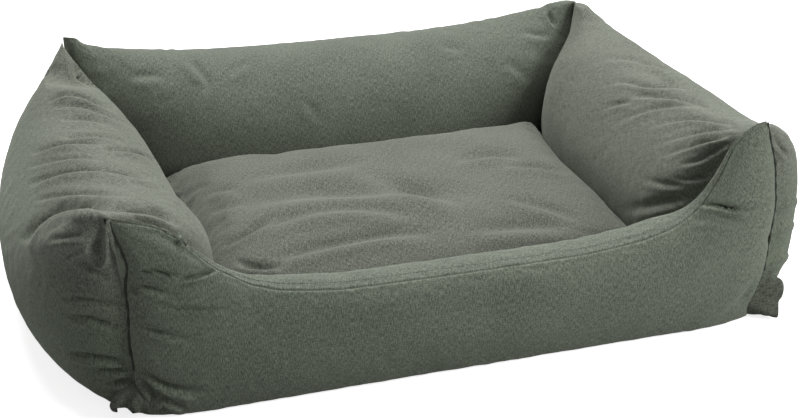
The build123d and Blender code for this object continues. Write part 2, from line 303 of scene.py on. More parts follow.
def canvas(name, colour, contrast=1.0, outside=None):
    """Melange canvas: speckles, short upright dashes, weave and a soft sheen.

    outside is the colour of a wall's outer side, where the cloth is greener."""
    material, nodes, links = new_material(name)
    shader = nodes["Principled BSDF"]
    uv = nodes.new("ShaderNodeUVMap")
    uv.uv_map = "cloth"
    place = uv.outputs["UV"]

    dashes = noise_on(nodes, links, place, (1 / dash_width, 1 / dash_length), 1.0)
    picks = noise_on(nodes, links, place, (1 / dash_length, 1 / dash_width), 1.0)
    fibres = noise_on(nodes, links, place, (fibre_scale, fibre_scale), 1.0, 0.7)
    patches = noise_on(nodes, links, place, (patch_scale, patch_scale), 3.0)
    half = dash_part * contrast
    mixed = spread(nodes, links, dashes, 0.5 - half, 0.5 + half)
    layers = ((picks, pick_part * contrast), (fibres, fibre_part * contrast), (patches, patch_part))
    for layer, part in layers:
        mixed = combined(nodes, links, "ADD", mixed, spread(nodes, links, layer, -part, part))
    shade = shades(nodes, links, mixed, colour, canvas_stops)
    if outside:
        parts = nodes.new("ShaderNodeSeparateXYZ")
        links.new(place, parts.inputs["Vector"])
        tint = nodes.new("ShaderNodeMix")
        tint.data_type, tint.blend_type = "RGBA", "MULTIPLY"
        tint.inputs["B"].default_value = (*(out / part for out, part in zip(outside, colour)), 1)
        outer = spread(nodes, links, parts.outputs["Y"], 1, 0, outer_to, outer_from)
        links.new(outer, tint.inputs[0])
        links.new(shade, tint.inputs["A"])
        shade = tint.outputs["Result"]
    links.new(shade, shader.inputs["Base Color"])

    waves = []
    for direction in ("X", "Y"):
        wave = nodes.new("ShaderNodeTexWave")
        wave.wave_type = "BANDS"
        wave.bands_direction = direction
        wave.inputs["Scale"].default_value = waves_per_scale / thread
        wave.inputs["Distortion"].default_value = 0.6
        wave.inputs["Detail"].default_value = 0.0
        links.new(place, wave.inputs["Vector"])
        waves.append(wave.outputs["Fac"])
    weave = combined(nodes, links, "MULTIPLY", *waves)
    weave = combined(nodes, links, "MULTIPLY", weave, 0.5)
    height = combined(nodes, links, "ADD", weave, dashes)
    roughen(nodes, links, shader, height, 0.25, 0.0005)
    links.new(spread(nodes, links, dashes, 0.82, 0.95), shader.inputs["Roughness"])
    shader.inputs["Specular IOR Level"].default_value = 0.2
    shader.inputs["Sheen Weight"].default_value = 0.3
    shader.inputs["Sheen Roughness"].default_value = 0.5
    shader.inputs["Sheen Tint"].default_value = (0.85, 0.9, 0.8, 1)
    return material


wall_canvas = canvas("wall_canvas", (0.182, 0.196, 0.161), outside=(0.170, 0.200, 0.150))
rim_canvas = canvas("rim_canvas", (0.176, 0.198, 0.158))
back_canvas = canvas("back_canvas", (0.153, 0.173, 0.138))
front_canvas = canvas("front_canvas", (0.175, 0.203, 0.156), 0.95)
cushion_canvas = canvas("cushion_canvas", (0.154, 0.165, 0.137), 1.1)
# The tufts are the walls' own cloth painted darker: painted shade for the shadow low at the corners
tuft_canvas_painted_shade = canvas("tuft_canvas_painted_shade", (0.125, 0.139, 0.109))
# The corner seams' canvas is near black: partly the thread's own colour, partly painted shade of
# the deep groove between the walls
seam_thread_and_painted_shade = canvas("seam_canvas_thread_and_painted_shade", (0.045, 0.050, 0.040), 0.6)
print("canvases: wall, rim, back, front, cushion, tuft and seam")

# %% [markdown]
# ## Stuffed walls
# A bolster is a tube of canvas, stuffed until it is round in the middle, and sewn flat at
# both ends where it joins the next wall. It could be drawn with curves, but cloth is a skin
# of even threads. So each bolster begins as a primitive cylinder that is cut into even
# rings. Its rings are moved into place along the wall, flat at the corner seams and full
# in the middle. Then a cloth simulation blows it up, with some cloth to spare along its
# length, and the spare cloth puckers as it does on the real bed.

# %% Places taken from the frame
corners = {}
for corner in ("front_left", "front_right", "back_left", "back_right"):
    low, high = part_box(corner + "_corner_seam")
    corners[corner] = ((low[0] + high[0]) / 2, (low[1] + high[1]) / 2)
half_x = corners["back_right"][0]
front_row, back_row = corners["front_left"][1], corners["back_right"][1]
span_x, span_y = 2 * half_x, back_row - front_row
ear_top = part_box("front_left_corner_seam")[1][2]
foot_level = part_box("left_cover")[0][2]
print("corner seams:", round(half_x, 4), round(front_row, 4), round(back_row, 4))

# %% How full a wall is at each place
seam_half = 0.0012
side_bulge, side_height = 0.094, 0.169
back_bulge, back_height = 0.099, 0.165
front_out, front_in, front_height = 0.023, 0.035, 0.105
front_reach = 0.09
# How much of an ear's height is left, by distance from its corner
left_ear_fall = (
    (0.0, 1.0), (0.021, 0.93), (0.041, 0.83), (0.053, 0.70), (0.076, 0.40), (0.110, 0.16),
    (0.136, 0.07), (0.190, 0.0),
)
right_ear_fall = (
    (0.0, 1.0), (0.012, 1.0), (0.028, 0.99), (0.041, 0.92), (0.054, 0.66), (0.066, 0.42),
    (0.080, 0.26), (0.100, 0.14), (0.136, 0.05), (0.190, 0.0),
)
ear_rounding, front_ear_drop = 0.005, 0.003
left_ear_length, right_ear_length = 0.122, 0.098
full_power, full_root = 2.2, 0.42
ear_flat, ear_fall_power = 0.014, 3.4
least_half = 0.001


def fullness(distance, reach):
    """0 at a corner seam and 1 at reach or more from it."""
    share = min(max(distance, 0) / reach, 1)
    return (1 - (1 - share) ** full_power) ** full_root


def swell(distance, reach, bulge):
    return seam_half + (bulge - seam_half) * fullness(distance - seam_half, reach)


def soft_least(first, second, power=5.0):
    """The lesser of two lengths, rounded where they are alike."""
    least = max(min(first, second), 1e-4)
    most = max(first, second, 1e-4)
    return least / (1 + (least / most) ** power) ** (1 / power)


def room_to(seam):
    """The half of a wall that has room, by distance from a corner seam."""
    return max(seam - least_half, least_half)


def pinched(front_peak, back_peak, from_front, from_back):
    """How sharp the top of a section is: blunt in the middle and thin towards its ears."""
    blunt, ear_length = 0.8, 0.05
    near_front = math.exp(-((from_front / ear_length) ** 2))
    near_back = math.exp(-((from_back / ear_length) ** 2))
    return blunt + (front_peak - blunt) * near_front + (back_peak - blunt) * near_back


def ear_share(nearest, reach):
    """How much of the ear's height a wall still has: all of it on the ear's flat top."""
    return (1 - max(nearest - ear_flat, 0) / (reach - ear_flat)) ** ear_fall_power


left_front_peak, right_front_peak, back_peak, right_back_peak = 0.9, 0.62, 1.6, 1.5
blunt_end, inner_spare = 0.055, 1.06
front_fat, fat_place, fat_reach, left_taper = 0.014, 0.10, 0.07, 0.17
back_reach = 0.27


def side_shape(run, on_left):
    """Outer half, inner half, top and sharpness of a side wall, at a run from the front.

    The left wall is fatter behind its front ear, and thins towards the back one."""
    to_back = span_y - run
    nearest = min(run, to_back)
    outer = swell(nearest, span_y / 2, side_bulge)
    behind_front = run - front_in
    blunt = front_in + (side_bulge - front_in) * fullness(behind_front, blunt_end)
    inner_front = room_to(run) if behind_front < 0 else blunt
    room = room_to(to_back)
    if on_left:
        room /= 1 + room / left_taper
    inner = soft_least(soft_least(inner_front, side_bulge * inner_spare), room)
    if on_left:
        fat = front_fat * math.exp(-(((run - fat_place) / fat_reach) ** 2))
        inner += fat * min(run / fat_place, 1)
    top = side_height + (ear_top - side_height) * ear_share(nearest, span_y / 2)
    front_peak = left_front_peak if on_left else right_front_peak
    return outer, inner, top, pinched(front_peak, back_peak, run, to_back)


def back_shape(run):
    """The same for the back wall. run is from the left corner seam."""
    nearest = min(run, span_x - run)
    outer = swell(nearest, back_reach, back_bulge)
    inner = soft_least(outer, room_to(nearest))
    top = back_height + (ear_top - back_height) * ear_share(nearest, span_x / 2)
    return outer, inner, top, pinched(back_peak, right_back_peak, run, span_x - run)


def front_shape(run):
    """The same for the front wall, whose top dips between the ears."""
    nearest = min(run, span_x - run)
    outer = swell(nearest, front_reach, front_out)
    inner = soft_least(swell(nearest, front_reach, front_in), room_to(nearest))
    on_left = run < span_x / 2
    distances, shares = zip(*(left_ear_fall if on_left else right_ear_fall))
    ear_length = left_ear_length if on_left else right_ear_length
    steps = [nearest + ear_rounding * step for step in (-1, -0.5, 0, 0.5, 1)]
    dip = float(np.mean(np.interp(steps, distances, shares)))
    top = front_height + (ear_top - front_ear_drop - front_height) * dip
    return outer, inner, top, math.exp(-((nearest / ear_length) ** 6))


# %% The section of a bolster and of the front wall
middle_share = 0.47
top_power, foot_side_power, foot_power = 0.86, 0.8, 0.62


def signed_power(value, power):
    return math.copysign(abs(value) ** power, value)


def bolster_ring(turn, outer, inner, top, peak):
    """Out and up of a point on a bolster's section. turn 0 is the middle of its underside."""
    angle = 2 * math.pi * turn - math.pi / 2
    across, rise = math.cos(angle), math.sin(angle)
    half = outer if across > 0 else inner
    middle = foot_level + middle_share * (top - foot_level)
    if rise > 0:
        return signed_power(across, peak) * half, middle + (top - middle) * rise ** top_power
    drop = (middle - foot_level) * (-rise) ** foot_power
    return signed_power(across, foot_side_power) * half, middle - drop


# The front wall's section: shares of its outer or inner half, and of its height.
# In the dip it has a broad round top, and at the ears it is a thin fin.
dip_outline = (
    (0.0, 0.0), (0.55, 0.0), (0.9, 0.03), (1.0, 0.3), (0.90, 0.62), (0.70, 0.88), (0.48, 1.0),
    (0.0, 1.045), (-0.45, 1.035), (-0.76, 0.96), (-0.95, 0.80), (-1.0, 0.45), (-0.92, 0.12),
    (-0.6, 0.0),
)
ear_outline = (
    (0.0, 0.0), (0.55, 0.0), (0.9, 0.03), (1.0, 0.3), (0.84, 0.62), (0.50, 0.88), (0.14, 0.985),
    (-0.02, 1.0), (-0.14, 0.99), (-0.34, 0.91), (-0.66, 0.72), (-0.92, 0.42), (-0.92, 0.12),
    (-0.6, 0.0),
)
front_seam_point = 6
front_seam_turn = front_seam_point / len(dip_outline)


def front_ring(turn, outer, inner, top, ear):
    """The same for the front wall: a smooth curve through the points of its section.

    The points are evenly spaced in turn, and the curve has a corner at the seam."""
    count = len(dip_outline)
    place = (turn % 1) * count
    first = int(place)
    part = place - first
    points = []
    for step in (-1, 0, 1, 2):
        pair = zip(dip_outline[(first + step) % count], ear_outline[(first + step) % count])
        points.append([dip + (thin - dip) * ear for dip, thin in pair])
    pair = []
    for axis in (0, 1):
        before, start, end, after = (point[axis] for point in points)
        if first == front_seam_point:
            before = 2 * start - end
        if (first + 1) % count == front_seam_point:
            after = 2 * end - start
        pair.append(
            start + 0.5 * part * (end - before + part * (
                2 * before - 5 * start + 4 * end - after
                + part * (3 * (start - end) + after - before)
            ))
        )
    out = pair[0] * (outer if pair[0] > 0 else inner)
    return out, foot_level + pair[1] * (top - foot_level)


walls = {
    "left_bolster": dict(
        shape=lambda run: side_shape(run, True), ring=bolster_ring, length=span_y,
        rings=86, around=84, cloth=wall_canvas, slot="wall_cloth",
        place=lambda run, out, up: Vector((-half_x - out, front_row + run, up)),
        nodes=("left_cover", "left_filling"),
    ),
    "right_bolster": dict(
        shape=lambda run: side_shape(run, False), ring=bolster_ring, length=span_y,
        rings=80, around=84, cloth=wall_canvas, slot="wall_cloth",
        place=lambda run, out, up: Vector((half_x + out, front_row + run, up)),
        nodes=("right_cover", "right_filling"),
    ),
    "back_bolster": dict(
        shape=back_shape, ring=bolster_ring, length=span_x,
        rings=88, around=72, cloth=back_canvas, slot="wall_cloth",
        place=lambda run, out, up: Vector((-half_x + run, back_row + out, up)),
        nodes=("back_cover", "back_filling"),
    ),
    "front_wall": dict(
        shape=front_shape, ring=front_ring, length=span_x,
        rings=104, around=56, cloth=front_canvas, slot="front_cloth",
        place=lambda run, out, up: Vector((-half_x + run, front_row - out, up)),
        nodes=("front_outer_panel", "front_top_panel", "front_filling"),
    ),
}


def on_wall(wall, run, turn):
    """The place of a point of a wall's skin."""
    out, up = wall["ring"](turn, *wall["shape"](run))
    return wall["place"](run, out, up)


def way_along(places):
    """The way along a row of places to each of them."""
    steps = np.linalg.norm(np.diff(np.array(places), axis=0), axis=1)
    return np.concatenate([[0], np.cumsum(steps)])


def girth_of(wall):
    """Length of the skin round the middle of a wall."""
    steps = 200
    around = [on_wall(wall, wall["length"] / 2, step / steps) for step in range(steps + 1)]
    return sum((after - before).length for before, after in zip(around, around[1:]))


end_ring = 0.0018
fine_steps, finer_ends, outermost = 4001, 1.6, 0.25


def even_runs(wall):
    """Runs whose rings are evenly spaced on the outermost line of the skin."""
    fine = np.linspace(0, 1, fine_steps) ** finer_ends
    fine = np.concatenate([fine / 2, 1 - fine[-2::-1] / 2]) * wall["length"]
    reached = way_along([on_wall(wall, run, outermost) for run in fine])
    wanted = np.linspace(0, reached[-1], wall["rings"])
    wanted[1], wanted[-2] = end_ring, reached[-1] - end_ring
    return np.interp(wanted, reached, fine)


for name, wall in walls.items():
    wall["girth"] = girth_of(wall)
    wall["runs"] = even_runs(wall)
    print(name, "girth:", round(wall["girth"], 3), "first run:", round(wall["runs"][1], 5))

# %% [markdown]
# ## Corners that lean
# No corner seam of the real bed is straight. The stuffing pushes each seam to one side at
# one height and pulls it back at another, and the ears lean and stand at different heights.
# A sway is listed by height for each corner, and everything near a corner shares it, so the
# walls, the seam and the tuft stay together.

# %% Sway of the corners, in metres: height above the floor, shift to the right
sways = {
    "front_left": (
        (0.0, 0.001), (0.04, 0.006), (0.07, 0.003), (0.105, 0.005), (0.127, 0.004),
        (0.147, 0.008), (0.175, 0.001), (0.2, -0.006),
    ),
    "front_right": (
        (0.0, -0.002), (0.024, 0.001), (0.045, 0.008), (0.08, 0.010), (0.12, 0.012),
        (0.16, 0.006), (0.2, -0.009),
    ),
    "back_left": ((0.0, 0.002), (0.1, 0.004), (0.16, 0.0), (0.2, -0.007)),
    "back_right": ((0.0, -0.003), (0.1, 0.004), (0.16, 0.002), (0.2, 0.0)),
}
ear_lifts = {"front_left": -0.003, "front_right": 0.013, "back_left": 0.004, "back_right": 0.0}
sway_reach = 0.05
lift_reach = 0.030
# Where an ear's two flaps part: shift to the right, to the back and up, for each wall
ear_leans = {
    ("back_bolster", "back_left"): (0.003, 0.001, 0.005),
    ("left_bolster", "back_left"): (0.002, 0.0, 0.0),
    ("back_bolster", "back_right"): (0.003, 0.0, 0.012),
    ("right_bolster", "back_right"): (-0.002, -0.003, 0.014),
    ("right_bolster", "front_right"): (0.0, 0.0, -0.010),
    ("left_bolster", "front_left"): (0.0, 0.0, -0.003),
}
ear_caps = {"back_right": 0.197}
cap_softness, cap_reach = 0.0012, 0.1
lean_reach = 0.034
foot_reach, foot_pull, foot_lift, foot_band = 0.030, 0.001, 0.001, 0.018


def dress_corners(points, name=None):
    """Leans all points near each corner, lifts its ear and draws in its foot."""
    moved = points.copy()
    for corner, (x, y) in corners.items():
        heights, shifts = zip(*sways[corner])
        away = np.hypot(points[:, 0] - x, points[:, 1] - y)
        level = np.clip(points[:, 2], 0, ear_top)
        near = np.exp(-((away / sway_reach) ** 2))
        moved[:, 0] += np.interp(level, heights, shifts) * near
        near_ear = np.exp(-((away / lift_reach) ** 2)) * (level / ear_top) ** 6
        moved[:, 2] += ear_lifts[corner] * near_ear
        if (name, corner) in ear_leans:
            near_flap = np.exp(-((away / lean_reach) ** 2)) * (level / ear_top) ** 7
            moved += np.outer(near_flap, ear_leans[name, corner])
        if corner in ear_caps:
            over = (moved[:, 2] - ear_caps[corner]) / cap_softness
            capped = ear_caps[corner] - cap_softness * np.log1p(np.exp(-np.clip(over, -30, 30)))
            near_cap = (away < cap_reach) & (over > -8)
            moved[:, 2] = np.where(near_cap, capped, moved[:, 2])
        near_foot = np.exp(-((away / foot_reach) ** 2) - (level / foot_band) ** 2)
        moved[:, 0] -= math.copysign(foot_pull, x) * near_foot
        moved[:, 1] += (foot_pull if y < 0 else -foot_pull) * near_foot
        moved[:, 2] += foot_lift * near_foot
    return moved


def points_of(piece, what="co"):
    """All points or normals of a mesh at once."""
    flat = np.empty(len(piece.data.vertices) * 3)
    piece.data.vertices.foreach_get(what, flat)
    return flat.reshape(-1, 3)


def set_points(piece, points):
    piece.data.vertices.foreach_set("co", points.ravel())
    piece.data.update()


def raise_skin(piece, height):
    """Moves each point of a piece along its normal by its height."""
    set_points(piece, points_of(piece) + points_of(piece, "normal") * height[:, None])


# %% Cut a cylinder into rings and lay them along each wall
blank_radius, hub_radius = 0.1, 0.01


def column_travel(wall):
    """The way along the skin from the middle to each ring, for each column of points."""
    travel = np.zeros((wall["around"], wall["rings"]))
    for column in range(wall["around"]):
        reached = way_along([on_wall(wall, run, column / wall["around"]) for run in wall["runs"]])
        travel[column] = reached - reached[wall["rings"] // 2] + wall["length"] / 2
    return travel


def ring_climb(wall):
    """The way round each ring to each of its points: from the seam, or from the wall's top."""
    turns = np.arange(wall["around"] + 1) / wall["around"]
    start = round((front_seam_turn if wall["ring"] is front_ring else 0.5) * wall["around"])
    climb = np.zeros((len(turns), wall["rings"]))
    for index, run in enumerate(wall["runs"]):
        reached = way_along([on_wall(wall, run, turn) for turn in turns])
        climb[:, index] = reached - reached[start]
    return climb


def wall_blank(name, wall):
    """A closed tube of even rings, with a UV map in metres."""
    half = wall["length"] / 2
    piece = tube(name, wall["around"], blank_radius, wall["length"], "TRIFAN")
    cut_rings(piece, half, wall["rings"] - 2)
    mesh = piece.data
    where = []
    for vertex in mesh.vertices:
        turn = (math.atan2(vertex.co.y, vertex.co.x) / (2 * math.pi)) % 1
        ring = round((vertex.co.z + half) / wall["length"] * (wall["rings"] - 1))
        where.append((wall["runs"][ring], turn, vertex.co.xy.length < hub_radius))
    travel, climb = column_travel(wall), ring_climb(wall)
    for layer in list(mesh.uv_layers):
        mesh.uv_layers.remove(layer)
    uv = mesh.uv_layers.new(name="cloth")
    for face in mesh.polygons:
        turns = [where[v][1] for v in face.vertices]
        wraps = max(turns) - min(turns) > 0.5
        for loop, vertex, turn in zip(face.loop_indices, face.vertices, turns):
            column = round(turn * wall["around"]) % wall["around"]
            last = wall["around"] if wraps and turn < 0.5 else 0
            ring = int(np.searchsorted(wall["runs"], where[vertex][0]))
            uv.data[loop].uv = (travel[column, ring], climb[column + last, ring])
    for vertex, (run, turn, hub) in zip(mesh.vertices, where):
        if hub:
            place = (on_wall(wall, run, 0.0) + on_wall(wall, run, 0.5)) / 2
        else:
            place = on_wall(wall, run, turn)
        vertex.co = place
    only(piece)
    bpy.ops.object.mode_set(mode="EDIT")
    bpy.ops.mesh.select_all(action="SELECT")
    bpy.ops.mesh.normals_make_consistent(inside=False)
    bpy.ops.object.mode_set(mode="OBJECT")
    set_points(piece, dress_corners(points_of(piece), name))
    return piece, where


wall_pieces, wall_places = {}, {}
for name, wall in walls.items():
    wall_pieces[name], wall_places[name] = wall_blank(name, wall)
    print(name, "faces:", len(wall_pieces[name].data.polygons))


# %% Blow each tube up as cloth
uneven, uneven_seed = 0.0004, 7
cloth_stiffness = dict(
    quality=5, mass=0.01, tension_stiffness=15, compression_stiffness=15, shear_stiffness=5,
    bending_stiffness=0.03,
)


def puff(piece, held, pressure, spare, cap, frames=20):
    """Simulates a closed skin under pressure, and keeps each point within cap of its start.

    spare is how much longer than its place the cloth is, along x, y and z."""
    start = points_of(piece)
    middle = (start.min(axis=0) + start.max(axis=0)) / 2
    raise_skin(piece, np.random.default_rng(uneven_seed).normal(0, uneven, len(start)))
    group = piece.vertex_groups.new(name="held")
    group.add([index for index, fixed in enumerate(held) if fixed], 1.0, "REPLACE")
    only(piece)
    piece.shape_key_add(name="Basis")
    cut = piece.shape_key_add(name="cut_cloth")
    longer = middle + (start - middle) * (1 + np.array(spare))
    cut.data.foreach_set("co", longer.ravel())
    cloth = piece.modifiers.new("cloth", "CLOTH")
    cloth.settings.rest_shape_key = cut
    for key, value in cloth_stiffness.items():
        setattr(cloth.settings, key, value)
    cloth.settings.use_pressure = True
    cloth.settings.uniform_pressure_force = pressure
    cloth.settings.vertex_group_mass = "held"
    cloth.settings.effector_weights.gravity = 0
    cloth.collision_settings.use_collision = False
    cloth.point_cache.frame_start = 1
    cloth.point_cache.frame_end = frames
    for step in range(1, frames + 1):
        scene.frame_set(step)
    blown = bpy.context.evaluated_depsgraph_get()
    done = bpy.data.meshes.new_from_object(
        piece.evaluated_get(blown), preserve_all_data_layers=True, depsgraph=blown
    )
    piece.modifiers.remove(cloth)
    piece.shape_key_clear()
    piece.vertex_groups.clear()
    old, piece.data = piece.data, done
    bpy.data.meshes.remove(old)
    done.name = piece.name
    scene.frame_set(1)
    move = points_of(piece) - start
    far = np.linalg.norm(move, axis=1)
    share = np.minimum(1, cap / np.maximum(far, 1e-9))
    set_points(piece, start + move * share[:, None])
    print(piece.name, "moved by mm:", round(far.mean() * 1000, 1), round(far.max() * 1000, 1))


sewn_end, sewn_under = 0.004, 0.09


def held_wall(name, wall):
    """The ends and the underside are sewn, so the simulation leaves them where they are."""
    held = []
    for run, turn, hub in wall_places[name]:
        nearest = min(run, wall["length"] - run)
        held.append(hub or nearest < sewn_end or min(turn, 1 - turn) < sewn_under)
    return held


spare_along, front_spare, spare_round = 0.07, 0.02, 0.015
wall_pressure, front_pressure, wall_cap = 10, 4, 0.009
for name, wall in walls.items():
    tight = name == "front_wall"
    along = front_spare if tight else spare_along
    spare = [spare_round] * 3
    spare[0 if wall["length"] == span_x else 1] = along
    pressure = front_pressure if tight else wall_pressure
    puff(wall_pieces[name], held_wall(name, wall), pressure, spare, wall_cap)

# %% [markdown]
# ## Folds that the photo shows
# The big folds are the same on every such bed, but where each one lies is chance. So the
# ones the camera sees are drawn after the photo: each is a line in the photo's pixels, with
# its depth in millimetres and its width in pixels. The points of a wall that face the
# camera and lie near the line sink in or rise, and a soft ridge forms just beside a valley.
# Smaller puckers run round each wall wherever the camera does not look too. They are laid
# on the cloth's own map, and a seeded random draw places them.

# %% Lines of the folds: depth in millimetres (less than 0 is a valley), width, points
folds = {
    "left_bolster": (
        (-3.4, 2.2, ((46, 102), (58, 98), (76, 99), (100, 103), (116, 111))),
        (-3.0, 2.0, ((50, 108), (75, 107), (95, 110), (114, 117), (129, 126))),
        (-2.0, 2.0, ((60, 120), (85, 118), (112, 124))),
        (-3.0, 2.2, ((60, 138), (88, 134), (112, 137), (126, 143))),
        (-4.1, 2.4, ((30, 154), (46, 147), (64, 143), (88, 142), (104, 144))),
        (-4.1, 2.2, ((102, 149), (125, 150), (146, 155), (160, 163))),
        (-2.0, 2.0, ((28, 168), (50, 160), (80, 156), (104, 160))),
        (-5.4, 3.0, ((26, 186), (48, 175), (75, 170), (102, 170), (128, 174), (156, 179))),
        (-2.6, 2.4, ((30, 202), (54, 195), (80, 192), (105, 193), (130, 196))),
        (-2.4, 2.4, ((130, 184), (152, 186), (170, 190))),
        (-8.0, 5.5, ((22, 243), (33, 229), (54, 214), (76, 206), (98, 204), (114, 207))),
        (-5.0, 4.0, ((104, 208), (130, 208), (154, 211), (168, 217), (181, 226))),
        (8.0, 16.0, ((36, 258), (56, 246), (78, 237), (102, 232))),
        (-4.0, 4.0, ((100, 234), (97, 244), (98, 256))),
        (4.0, 2.4, ((106, 216), (105.5, 240), (107, 256), (103, 266), (97, 267), (92, 260))),
        (-3.0, 2.2, ((113, 224), (115, 240), (119, 254))),
        (-1.6, 2.4, ((60, 244), (76, 236), (94, 232))),
        (-1.4, 2.4, ((66, 256), (80, 250), (92, 240))),
        (-7.0, 10.0, ((44, 80), (60, 75), (80, 76), (102, 82))),
        (-1.5, 3.0, ((70, 250), (84, 262), (100, 276), (118, 279))),
        (-2.6, 2.4, ((60, 296), (84, 300), (104, 304), (124, 303))),
        (-3.7, 2.2, ((62, 314), (86, 318), (108, 325), (128, 329))),
        (-4.3, 2.4, ((66, 352), (90, 357), (112, 360), (131, 363))),
        (-3.7, 2.2, ((96, 370), (114, 371), (132, 368))),
        (-3.7, 2.2, ((104, 384), (122, 382), (138, 378))),
    ),
    "front_wall": (
        (-4.6, 1.8, ((137, 273), (150, 272.5), (164, 275), (179, 275))),
        (-4.6, 1.8, ((177, 280.5), (188, 278.5), (200, 276), (218, 269))),
        (-4.2, 1.8, ((127, 288), (142, 288), (158, 292), (180, 299))),
        (-2.3, 2.2, ((154, 308), (178, 310), (204, 311), (231, 309))),
        (-3.0, 2.2, ((131, 323), (148, 330), (168, 336), (192, 340))),
        (-4.8, 2.4, ((136, 364), (147, 375), (160, 384), (176, 390), (200, 396))),
        (-3.6, 2.2, ((138, 374), (147, 386), (154, 397), (160, 407))),
        (-2.5, 2.4, ((141, 378), (156, 392), (172, 403), (188, 411))),
        (-2.1, 2.4, ((160, 386), (184, 389), (208, 392))),
        (-5.0, 2.2, ((181, 232), (183.5, 239), (185, 245))),
        (2.4, 2.4, ((174, 228), (179, 234), (181, 241))),
        (-4.5, 2.0, ((698, 204), (714, 205), (730, 209), (748, 212), (775, 206))),
        (-1.4, 3.0, ((690, 219), (712, 220), (740, 217))),
        (-1.7, 2.6, ((772, 233), (762, 246), (746, 258))),
        (-1.7, 3.0, ((756, 280), (744, 298), (724, 314))),
    ),
    "right_bolster": (
        (-2.2, 2.4, ((590, 63), (617, 57), (640, 60), (663, 68), (680, 79))),
        (-3.6, 2.8, ((635, 64), (653, 62), (670, 71), (684, 82))),
        (-3.6, 2.6, ((600, 90), (620, 79), (650, 87), (673, 85), (690, 88))),
        (-3.4, 2.4, ((617, 100), (640, 95), (673, 97), (693, 100), (708, 107))),
        (-2.6, 2.4, ((607, 127), (627, 117), (650, 108), (680, 104), (708, 108))),
        (-2.0, 2.4, ((598, 112), (612, 104), (632, 101))),
        (-3.0, 2.3, ((640, 131), (660, 123), (687, 117), (720, 121), (737, 125))),
        (-3.0, 2.3, ((650, 147), (673, 138), (700, 131), (727, 128), (739, 128))),
        (-3.0, 2.2, ((657, 158), (683, 148), (707, 140), (729, 135))),
        (-3.8, 2.4, ((676, 165), (698, 161), (713, 151), (728, 142))),
        (-3.2, 2.4, ((668, 178), (688, 180), (706, 176), (716, 162))),
        (-1.6, 3.0, ((636, 176), (662, 184), (690, 186))),
        (-4.0, 4.5, ((620, 210), (644, 206), (668, 200), (690, 194))),
        (-2.6, 2.6, ((771, 136), (780, 146), (790, 158))),
        (-2.2, 3.0, ((770, 210), (783, 201), (797, 193))),
        (-2.2, 3.0, ((767, 234), (780, 225), (794, 216))),
        (-2.2, 3.0, ((763, 266), (775, 256), (790, 247))),
    ),
    "back_bolster": (
        (-2.2, 4.2, ((184, 55), (194, 64), (204, 74), (209, 84), (204, 93))),
        (-1.7, 4.5, ((128, 78), (146, 74), (166, 76))),
        (-1.7, 4.0, ((228, 76), (238, 67), (250, 59))),
        (-1.0, 4.5, ((306, 100), (316, 112), (317, 124))),
        (-1.3, 4.0, ((436, 42), (450, 47), (466, 50))),
        (-1.7, 3.0, ((520, 30), (534, 34), (552, 36))),
        (-3.4, 2.4, ((547, 10), (551, 20), (556, 26))),
        (-1.4, 4.0, ((505, 60), (520, 70), (530, 84))),
    ),
}
fold_gain = 1.7
photo_middle = (400, 209)
ridge_by_valley, valley_by_ridge = 0.55, 0.1
# Over 1 where the folds of a wall are deepest nearer their far ends
fold_late = {"right_bolster": 1.7}
puckers = {"left_bolster": 60, "right_bolster": 60, "back_bolster": 60, "front_wall": 10}
pucker_run, pucker_around, pucker_spread = (0.03, 0.97), 0.3, 0.22
pucker_reach, pucker_width, pucker_depth = (0.02, 0.06), (0.0022, 0.0045), (0.25, 0.5)
pucker_lean, pucker_bow = 0.25, 0.004


def in_photo(points):
    """Where points fall in the photo, in its pixels."""
    turn = np.array(camera.rotation_euler.to_matrix())
    seen = (points - np.array(camera_place)) @ turn
    depth = -seen[:, 2]
    x = photo_middle[0] + focal_pixels * seen[:, 0] / depth
    y = photo_middle[1] - focal_pixels * seen[:, 1] / depth
    return np.stack([x, y], axis=1)


def camera_cosine(piece):
    """Cosine between the normal of each point and its way to the camera."""
    way = np.array(camera_place) - points_of(piece)
    return np.einsum("ij,ij->i", points_of(piece, "normal"), way) / np.linalg.norm(way, axis=1)


def rounded(line):
    """A line with its corners cut twice, so that it bends softly."""
    line = np.array(line, dtype=float)
    for _ in range(2):
        before, after = line[:-1], line[1:]
        cut = np.stack([0.75 * before + 0.25 * after, 0.25 * before + 0.75 * after], axis=1)
        line = np.concatenate([line[:1], cut.reshape(-1, 2), line[-1:]])
    return line


def beside(line, places):
    """Distance to one side of a line, and the share of its length, at the nearest point."""
    line = rounded(line)
    steps = np.linalg.norm(np.diff(line, axis=0), axis=1)
    reached = np.concatenate([[0], np.cumsum(steps)]) / steps.sum()
    best = np.full(len(places), np.inf)
    side, share = np.zeros(len(places)), np.zeros(len(places))
    for index, (start, end) in enumerate(zip(line[:-1], line[1:])):
        along = (end - start) / max(steps[index], 1e-9)
        offset = places - start
        travel = np.clip(offset @ along, 0, steps[index])
        gap = offset - travel[:, None] * along
        distance = np.hypot(gap[:, 0], gap[:, 1])
        nearer = distance < best
        best[nearer] = distance[nearer]
        cross = along[0] * offset[:, 1] - along[1] * offset[:, 0]
        side[nearer] = np.sign(cross[nearer]) * distance[nearer]
        part = travel / max(steps[index], 1e-9)
        share[nearer] = (reached[index] + part * (reached[index + 1] - reached[index]))[nearer]
    ends = np.minimum(share, 1 - share)
    return side, np.where(ends > 0, share, 0)


def add_fold(height, places, wanted, line, amount, width, late=1.0, other=ridge_by_valley):
    """Adds to the heights of points one fold that fades at both ends of its line.

    other is the share of its depth by which the cloth beside it goes the other way."""
    line = np.array(line, dtype=float)
    margin = 5 * width
    low, high = line.min(axis=0) - margin, line.max(axis=0) + margin
    near = wanted & np.all((places > low) & (places < high), axis=1)
    side, share = beside(line, places[near])
    fade = np.sin(np.pi * share ** late) ** 0.85
    middle = np.exp(-((side / width) ** 2))
    ridge = other * np.exp(-(((side - 2.1 * width) / (1.3 * width)) ** 2))
    height[near] += amount * (fade * (middle - ridge))


